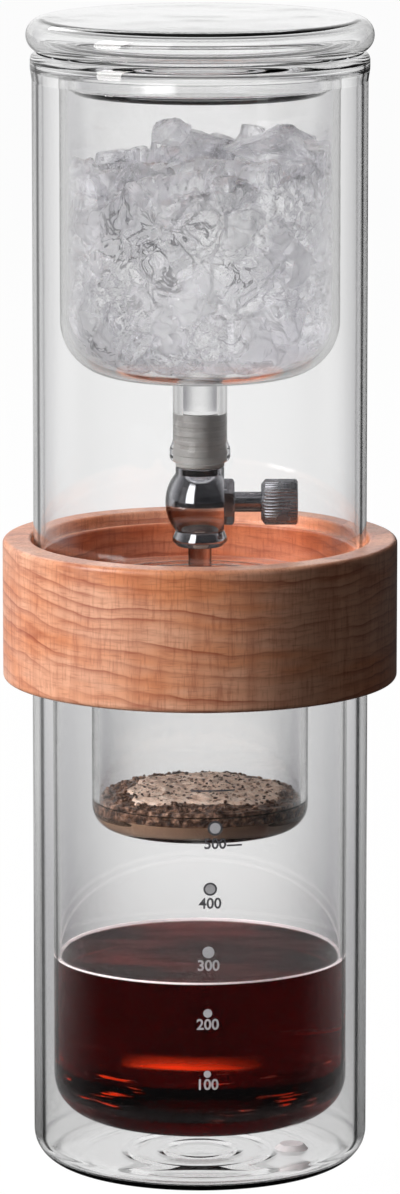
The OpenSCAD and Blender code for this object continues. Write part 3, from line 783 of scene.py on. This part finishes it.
def litCoffee(tree, clear, point, look):
    x, y, z = axes(tree, point)
    # the rim that climbs the wall is painted bright, a painted highlight on the meniscus, and the level
    # surface swallows most of the light
    line = look["level"] + look["climb"]
    climb = mapped(tree, z, line * mm, (line + 0.25) * mm)
    body = mixed(tree, times(tree, climb, 0.75), clear, glowing(tree, look["rim"]))
    high = math2(tree, "GREATER_THAN", z, (line - 5) * mm)
    flat = times(tree, ramp(tree, levelness(tree), [(0.85, 0), (0.97, 0.78)]), high)
    flat = times(tree, flat, math2(tree, "SUBTRACT", 1.0, climb))
    depths = ramp(tree, streaks(tree, (30, 90, 30)), look["surface"])
    body = mixed(tree, flat, body, put(tree, "BsdfDiffuse", {"Color": depths}))
    # painted red glints: a band and some threads of painted light, standing in for the light that the round
    # glass gathers, by height in centimetres
    turn = math2(tree, "ARCTAN2", x, times(tree, y, -1.0))
    wave = math2(tree, "COSINE", times(tree, math2(tree, "ADD", turn, 0.06), 3.0))
    sway = times(tree, streaks(tree, (60, 60, 1)), 0.0016)
    height = times(tree, math2(tree, "ADD", z, sway), 10.0)
    paintedGlintBand = ramp(tree, height, look["paintedGlintBand"])
    paintedGlintBand = times(tree, paintedGlintBand, ramp(tree, wave, [(0.05, 0), (0.97, 0.75)]))
    paintedGlintThreads = ramp(tree, streaks(tree, (70, 70, 1100)), [(0.60, 0), (0.66, 1)])
    patches = ramp(tree, streaks(tree, (55, 55, 90), 1), [(0.52, 0), (0.60, 0.4)])
    paintedGlintThreads = times(tree, paintedGlintThreads, patches, ramp(tree, height, look["paintedGlintThreads"]))
    return mixed(tree, math2(tree, "MAXIMUM", paintedGlintBand, paintedGlintThreads), body, glowing(tree, look["glow"]))


def liquidMaterial(name, look):
    made, tree = startMaterial(name)
    point = objectPoint(tree)
    body = put(tree, "BsdfPrincipled", {
        "Base Color": 1.0, "Roughness": 0.0, "IOR": look["ior"], "Transmission Weight": 1.0,
        "Normal": relief(tree, speckle(tree, point, 55, 2), look["wave"], 0.001),
    })
    if "glow" in look:
        body = litCoffee(tree, body, point, look)
    more = {}
    if "colour" in look:
        more["Volume"] = put(tree, "VolumeAbsorption", {"Color": look["colour"], "Density": look["density"]})
    return endMaterial(made, withFilm(tree, body, 0.9), **more)


coffee = {
    "level": 61.3, "wall": 42.3, "floor": 15.2, "climb": 0.2,
    "colour": (0.845, 0.10, 0.03), "density": 260, "ior": 1.34, "wave": 0.02,
    "surface": [(0.45, (0.016, 0.009, 0.009)), (0.66, (0.10, 0.008, 0.006))],
    # painted light: the white of the meniscus highlight, and the red of the glints with the heights of their
    # band and threads
    "rim": (0.9, 0.88, 0.88), "glow": (0.95, 0.055, 0.01),
    "paintedGlintBand": [(0.366, 0), (0.374, 1), (0.386, 0.5), (0.412, 0)],
    "paintedGlintThreads": [(0.20, 0.0), (0.25, 1.0), (0.34, 0.8), (0.37, 0.0)],
}
coldBrew = liquidMaterial("coldBrew", coffee)
coffeeShape = [
    (0, coffee["floor"]), (coffee["wall"], coffee["floor"], 11), (coffee["wall"], coffee["level"] + 0.9),
    (41.2, coffee["level"] + 0.6), (40.3, coffee["level"] + 0.15, 0.6), (38.5, coffee["level"], 1),
    (0, coffee["level"])]
brewed = mount(softPiece("coldBrewCoffee", coffeeShape, coldBrew, 160, False), "carafe")
brewed.visible_shadow = False  # so that the base under it is lit

# melt water in the outlet
meltWater = liquidMaterial("meltWater", {"ior": 1.33, "wave": 0.06})
waterShape = [(0, 221.7), (5.0, 221.7), (5.0, 235.3), (0, 235.3)]
mount(softPiece("iceWater", waterShape, meltWater, 96, False), "vessel")

iceLook = {
    "seed": 11, "reach": 38.2, "floor": 235.6, "corner": 14.0, "cell": 10.5, "around": 176,
    # how high the filling stands in the middle, how it leans along X and Y, and how uneven its pieces are
    "roof": 295.0, "lean": (0.12, 0.05), "uneven": 4.5, "gap": 4.5,
    # grooves between the pieces, and their flat facets
    "grooveWidth": 2.4, "grooveDepth": 2.0, "facetSlope": 0.17, "facetDepth": (0.4, 2.2), "rough": 0.5,
    # pieces listed for the top: centre, half sizes, turn
    "top": [
        ((-8, -10, 304.5), (6.5, 5, 5), 0.4), ((19, -14, 298), (15, 9, 9.5), 0.1),
        ((-33, -9, 293), (4.5, 6, 6), 0.3), ((-15, -6, 291), (13, 9, 8), 0.9),
        ((3, 12, 297), (11, 10, 9), 2.0), ((28, 10, 296), (9, 9, 9), 1.2), ((-24, 16, 289), (11, 9, 8), 2.6)],
    # the near black below is painted shade on the seams and curls
    "ior": 1.24, "cloud": (0.93, 0.93, 0.95), "film": (0.92, 0.92, 0.93), "paintedDarkEdges": (0.012, 0.012, 0.016),
}


def iceMaterial(name, look):
    made, tree = startMaterial(name)
    point = objectPoint(tree)
    drift = put(tree, "TexNoise", {"Vector": point, "Scale": 70.0, "Detail": 2.0}).outputs["Color"]
    moved = put(tree, "VectorMath", {0: drift, 1: (0.016, 0.016, 0.016), 2: point}, operation="MULTIPLY_ADD")
    # smooth lumps, crackled seams and specks of trapped air
    lumps = speckle(tree, point, 95, 2, 0.5, 0.4)
    ripples = speckle(tree, moved, 260, 3, 0.6, 0.8)
    crackled = ramp(tree, speckle(tree, point, 34, 2), [(0.45, 0.04), (0.57, 1.0)])
    seams = put(tree, "TexVoronoi", {"Vector": moved, "Scale": 62.0}, feature="DISTANCE_TO_EDGE")
    seams = times(tree, ramp(tree, seams, [(0.0, 1.0), (0.045, 0.0)]), 0.45)
    curl = math2(tree, "ABSOLUTE", math2(tree, "SUBTRACT", speckle(tree, moved, 105, 3, 0.55, 1.2), 0.5))
    curls = times(tree, ramp(tree, curl, [(0.0, 1.0), (0.016, 0.8), (0.03, 0.0)]), crackled)
    paintedDarkLines = math2(tree, "MAXIMUM", seams, curls)
    height = math2(tree, "ADD", times(tree, lumps, 2.0), times(tree, ripples, crackled))
    height = math2(tree, "SUBTRACT", height, times(tree, paintedDarkLines, 0.25))
    normal = relief(tree, height, 0.85, 0.0017)
    tone = ramp(tree, speckle(tree, point, 52, 2), [(0.38, (0.95, 0.95, 0.97)), (0.62, 1.0)])
    shader = put(tree, "BsdfPrincipled", {
        # seams and curls are painted near black: painted shade for the dark edges of the ice
        "Base Color": blended(tree, times(tree, paintedDarkLines, 0.96), tone, look["paintedDarkEdges"]),
        "Roughness": ramp(tree, speckle(tree, point, 48, 3, 0.55), [(0.42, 0.04), (0.64, 0.42)]),
        "IOR": look["ior"], "Transmission Weight": 1.0, "Normal": normal,
    })
    air = ramp(tree, speckle(tree, moved, 800, 2, 0.6), [(0.56, 0), (0.70, 1)])
    veil = ramp(tree, speckle(tree, point, 60, 3, 0.6), [(0.46, 0.08), (0.68, 0.42)])
    veil = math2(tree, "MAXIMUM", veil, times(tree, air, crackled, 0.75))
    cloud = mixed(tree, 0.5, *bothSides(tree, {"Color": look["cloud"], "Normal": normal}))
    return endMaterial(made, withFilm(tree, mixed(tree, veil, shader, cloud), look["film"]))


meltingIce = iceMaterial("meltingIce", iceLook)


def anyWay(dice):
    return Vector((dice.gauss(0, 1), dice.gauss(0, 1), dice.gauss(0, 1))).normalized()


def scatterCells(look):
    # the pieces that the filling is frozen together from: where each is, which way it faces, how high it is
    dice = random.Random(look["seed"])
    cells = []
    for _ in range(9000):
        place = Vector((dice.uniform(-40, 40), dice.uniform(-40, 40), dice.uniform(232, 312)))
        if all((place - other[0]).length > look["cell"] for other in cells):
            cells.append((place, anyWay(dice), dice.uniform(-1, 1)))
    tree = kdtree.KDTree(len(cells))
    for index, cell in enumerate(cells):
        tree.insert(cell[0], index)
    tree.balance()
    return cells, tree


def iceDepth(place, cells, tree, look):
    # how far the surface lies in at this point, and how high its piece stands
    bent = place + Vector((noise.noise(place * 0.11), noise.noise(place * 0.11 + Vector((9, 0, 0))), 0)) * 2.5
    (_, first, near), (_, _, far) = tree.find_n(bent, 2)
    middle, way, stand = cells[first]
    groove = max(0.0, 1 - (far - near) / look["grooveWidth"]) ** 1.5
    usual, deepest = look["facetDepth"]
    facet = min(deepest, max(0.0, usual + look["facetSlope"] * way.dot(bent - middle)))
    return groove, facet + abs(noise.noise(place * 0.5)) * look["rough"], stand


def buildIce(look):
    cells, tree = scatterCells(look)
    build = bmesh.new()
    reach, corner = look["reach"], look["corner"]
    bend, shoulder = reach - corner, look["floor"] + corner
    rings = []

    def roofAt(x, y):
        roof = look["roof"] + look["lean"][0] * x + look["lean"][1] * y
        groove, facet, stand = iceDepth(Vector((x, y, roof)), cells, tree, look)
        return roof + look["uneven"] * stand * (1 - groove) - groove * look["gap"] - facet * 1.6

    def ringAt(radius, inward, rise, height=None, share=None):
        # each ring is at a height, or at a share of the way from the shoulder to the roof
        ring = []
        for a in turns(look["around"]) if radius else [0.0]:
            x, y = radius * math.cos(a), radius * math.sin(a)
            z = height or shoulder + share * (roofAt(x, y) - shoulder)
            groove, facet, _ = iceDepth(Vector((x, y, z)), cells, tree, look)
            depth = groove * look["grooveDepth"] + facet
            r = max(0.0, radius - depth * inward)
            ring.append(build.verts.new(Vector((r * math.cos(a), r * math.sin(a), z + depth * rise)) * mm))
        rings.append(ring)

    for j in range(14):
        ringAt(bend * j / 14, 0.0, 1.0, height=look["floor"])
    for j in range(12):
        a = math.pi / 2 * j / 12
        ringAt(bend + corner * math.sin(a), math.sin(a), math.cos(a), height=shoulder - corner * math.cos(a))
    for j in range(30):
        ringAt(reach, 1.0, 0.0, share=j / 30)
    for j in range(34):
        ringAt(reach * (1 - j / 34), 1 - j / 34, 0.0, share=1.0)
    ringAt(0.0, 0.0, 0.0, share=1.0)
    joinRings(build, rings)
    bmesh.ops.triangulate(build, faces=build.faces)
    bmesh.ops.recalc_face_normals(build, faces=build.faces)
    mount(finishMesh("iceMass", build, meltingIce, 34), "vessel")
    return len(cells)


def iceChunk(name, centre, size, turn, dice, reach):
    build = bmesh.new()
    for _ in range(13):
        way = anyWay(dice)
        build.verts.new(Vector((way.x * size[0], way.y * size[1], way.z * size[2])) * dice.uniform(0.85, 1.1))
    bmesh.ops.convex_hull(build, input=build.verts)
    loose = [v for v in build.verts if not v.link_faces]
    bmesh.ops.delete(build, geom=loose, context="VERTS")
    edges = list(build.edges)
    bmesh.ops.bevel(build, geom=edges, offset=0.9, segments=2, affect="EDGES", clamp_overlap=True)
    bmesh.ops.triangulate(build, faces=build.faces)
    bmesh.ops.subdivide_edges(build, edges=[e for e in build.edges if e.calc_length() > 2.2], cuts=2)
    bmesh.ops.triangulate(build, faces=build.faces)
    spin = Matrix.Rotation(turn, 3, "Z")
    shift = Vector((dice.uniform(-90, 90), dice.uniform(-90, 90), 0))
    for vert in build.verts:
        place = spin @ vert.co
        way = place.normalized()
        place += way * (noise.noise(place * 0.22 + shift) * 1.5 + noise.noise(place * 0.7 + shift) * 0.45)
        place += Vector(centre)
        flat = Vector((place.x, place.y))
        if flat.length > reach:
            place.x, place.y = flat * (reach / flat.length)
        vert.co = place * mm
    bmesh.ops.recalc_face_normals(build, faces=build.faces)
    return mount(finishMesh(name, build, meltingIce, 28), "vessel")


print("ice cells:", buildIce(iceLook))
topDice = random.Random(iceLook["seed"])
for number, (centre, size, turn) in enumerate(iceLook["top"]):
    iceChunk(f"iceTop{number + 1:02d}", centre, size, turn, topDice, iceLook["reach"] - 0.3)

# coffee grounds, brew and crust in the cup
grounds = {
    "seed": 4, "wall": 29.3, "edge": 109.2, "mound": 1.9, "grains": 1000, "grain": (0.4, 1.0),
    "around": 120, "rows": 36, "shift": (2.4, 0.6),
    "wet": [(0.34, (0.012, 0.006, 0.004)), (0.5, (0.12, 0.06, 0.036)), (0.66, (0.45, 0.27, 0.18))],
    "foam": [(0.22, (0.08, 0.04, 0.03)), (0.34, (0.58, 0.37, 0.26)), (0.42, (0.90, 0.65, 0.49)),
             (0.66, (0.95, 0.79, 0.66))],
}


def groundsHeight(x, y, g, lift=0.0):
    away = math.hypot(x, y) / g["wall"]
    bump = noise.noise(Vector((x * 0.09, y * 0.09, 3.1))) * 1.0
    bump += noise.noise(Vector((x * 0.35, y * 0.35, 8))) * 0.6
    return g["edge"] + g["mound"] * max(0.0, 1 - away ** 2.4) + bump * min(1, 2.2 * (1 - away) + 0.25) + lift


def matterMaterial(name, stops, scale, rough, bump):
    made, tree = startMaterial(name)
    point = objectPoint(tree)
    grain = speckle(tree, point, scale, 4, 0.65)
    cells = put(tree, "TexVoronoi", {"Vector": point, "Scale": scale * 1.3}).outputs["Distance"]
    return endMaterial(made, put(tree, "BsdfPrincipled", {
        "Base Color": ramp(tree, grain, stops), "Roughness": rough, "Specular IOR Level": 0.5,
        "Normal": relief(tree, math2(tree, "SUBTRACT", grain, cells), bump, 0.0006),
    }))


wetGrounds = matterMaterial("wetGrounds", grounds["wet"], 520, 0.32, 1.0)
crustFoam = matterMaterial("crustFoam", grounds["foam"], 360, 0.55, 0.8)


def heapMesh(name, g, material, lift, inner, floorZ, seedShift=0.0):
    # inner: the share of the cup's width that the heap fills, with a ragged edge when it is below 1
    build = bmesh.new()
    rings = [[build.verts.new(Vector((0, 0, groundsHeight(0, 0, g, lift))) * mm)]]
    for j in range(1, g["rows"] + 1):
        away = g["wall"] * inner * j / g["rows"]
        ring = []
        for a in turns(g["around"]):
            x, y = away * math.cos(a), away * math.sin(a)
            if inner < 1:
                ragged = noise.noise(Vector((math.cos(a) * 2.2, math.sin(a) * 2.2, 5))) * 0.22
                ragged += noise.noise(Vector((math.cos(a) * 9, math.sin(a) * 9, 5))) * 0.07
                x, y = x * (1 + ragged) + g["shift"][0], y * (1 + ragged) + g["shift"][1]
            z = groundsHeight(x, y, g, lift) + noise.noise(Vector((x * 1.3 + seedShift, y * 1.3, 1))) * 0.45
            ring.append(build.verts.new(Vector((x, y, z)) * mm))
        rings.append(ring)
    for vert in rings[-1] if inner < 1 else []:
        vert.co.z -= 0.8 * mm
    rings.append([build.verts.new((v.co.x, v.co.y, floorZ * mm)) for v in rings[-1]])
    rings.append([build.verts.new((0, 0, floorZ * mm))])
    joinRings(build, rings, outward=False)
    bmesh.ops.recalc_face_normals(build, faces=build.faces)
    return mount(finishMesh(name, build, material, 60), "cup")


def scatterGrains(g):
    dice = random.Random(g["seed"])
    build = bmesh.new()
    for _ in range(g["grains"]):
        a, away = dice.uniform(0, 2 * math.pi), math.sqrt(dice.random()) * (g["wall"] - 0.8)
        x, y = away * math.cos(a), away * math.sin(a)
        size = dice.uniform(*g["grain"])
        place = Vector((x, y, groundsHeight(x, y, g) + size * 0.2))
        turn = Matrix.Rotation(
            dice.uniform(0, 6), 4, Vector((dice.random(), dice.random(), dice.random() + 0.1)))
        stretch = Matrix.Diagonal((size, size * dice.uniform(0.6, 1), size * dice.uniform(0.5, 0.9), 1))
        matrix = Matrix.Translation(place * mm) @ turn @ stretch
        bmesh.ops.create_icosphere(build, subdivisions=1, radius=mm, matrix=matrix)
    return mount(finishMesh("looseGrains", build, wetGrounds, 30), "cup")


heapMesh("groundsHeap", grounds, wetGrounds, 0.0, 1.0, 105.2)
heapMesh("foamCrust", grounds, crustFoam, 0.55, 0.80, 106.0, 40.0)
scatterGrains(grounds)
brewLook = {"colour": (0.80, 0.44, 0.12), "density": 110, "ior": 1.34, "wave": 0.03}
brewShape = [(0, 102.3), (29.9, 102.3, 5.2), (29.9, 108.2), (29.3, 107.6), (27.5, 107.3, 0.6), (0, 107.3)]
mount(softPiece("brewInCup", brewShape, liquidMaterial("brewedLayer", brewLook), 128, False), "cup")
print("contents built")

# the volume scale printed on the carafe's inner wall
scalePrint = {
    "radius": 42.98, "figureHeight": 3.1,
    # figure, place along the wall, height, radius of the dot, and how far the figure hangs under it
    "marks": [(100, 2.1, 35.3, 1.05, 3.0), (200, 2.2, 53.3, 1.25, 3.2), (300, 2.4, 71.3, 1.7, 3.8),
              (400, 2.9, 89.9, 1.8, 4.1), (500, 4.3, 107.7, 2.0, 4.4)],
    "paleBelow": 73.3,       # marks seen against the coffee are pale
}


def printMaterial(name, colour):
    made, tree = startMaterial(name)
    worn = speckle(tree, objectPoint(tree), 1500, 2)
    return endMaterial(made, put(tree, "BsdfPrincipled", {
        "Base Color": blended(tree, worn, colour, tuple(c * 0.8 for c in colour)), "Roughness": 0.5,
    }))


paleInk = printMaterial("paleInk", (0.62, 0.62, 0.64))
greyInk = printMaterial("greyInk", (0.10, 0.10, 0.11))


def onWall(x, z, radius):
    angle = x / radius
    return Vector((radius * math.sin(angle), -radius * math.cos(angle), z)) * mm


def addDot(name, x, z, sizes, material, radius):
    # sizes: the radius of a dot, or the outer and inner radius of a ring
    build = bmesh.new()
    rings = []
    for size in sizes:
        spots = [onWall(x + size * math.cos(a), z + size * math.sin(a), radius) for a in turns(40)]
        rings.append([build.verts.new(spot) for spot in spots])
    if len(rings) > 1:
        joinRings(build, rings)
    else:
        build.faces.new(rings[0])
    return mount(finishMesh(name, build, material), "carafe")


def addFigure(value, x, z, height, material, radius):
    letters = bpy.data.curves.new(f"figure{value}", "FONT")
    letters.body, letters.size, letters.align_x = str(value), 1.0, "CENTER"
    letters.offset = 0.02
    source = bpy.data.objects.new(f"figureSource{value}", letters)
    scene.collection.objects.link(source)
    mesh = bpy.data.meshes.new_from_object(source.evaluated_get(bpy.context.evaluated_depsgraph_get()))
    bpy.data.objects.remove(source)
    tall = max(v.co.y for v in mesh.vertices)
    for vert in mesh.vertices:
        vert.co = onWall(x + vert.co.x / tall * height * 0.98, z + (vert.co.y / tall - 0.5) * height, radius)
    mesh.materials.clear()
    mesh.materials.append(material)
    piece = bpy.data.objects.new(f"scaleFigure{value}", mesh)
    scene.collection.objects.link(piece)
    return mount(piece, "carafe")


def printScale(look):
    for value, x, z, size, drop in look["marks"]:
        pale = z < look["paleBelow"]
        addDot(f"scaleDot{value}", x, z, [size], paleInk, look["radius"])
        if not pale:
            addDot(f"scaleRing{value}", x, z, [size * 1.08, size * 0.78], greyInk, look["radius"] + 0.03)
        addFigure(value, x, z - drop, look["figureHeight"], paleInk if pale else greyInk, look["radius"])


def addDash(name, least, most, z, tall, radius, body, steps=16):
    build = bmesh.new()
    stops = [least + (most - least) * k / steps for k in range(steps + 1)]
    low, high = [[build.verts.new(onWall(x, z + side, radius)) for x in stops]
                 for side in (-tall / 2, tall / 2)]
    for k in range(steps):
        build.faces.new([low[k], low[k + 1], high[k + 1], high[k]])
    return mount(finishMesh(name, build, greyInk), body)


printScale(scalePrint)
addDash("scaleDash", 7.6, 12.0, 102.6, 0.5, scalePrint["radius"], "carafe")
addDash("fillLine", -2.6, 10.0, 116.4, 0.45, 31.68, "cup")
print("scale printed")
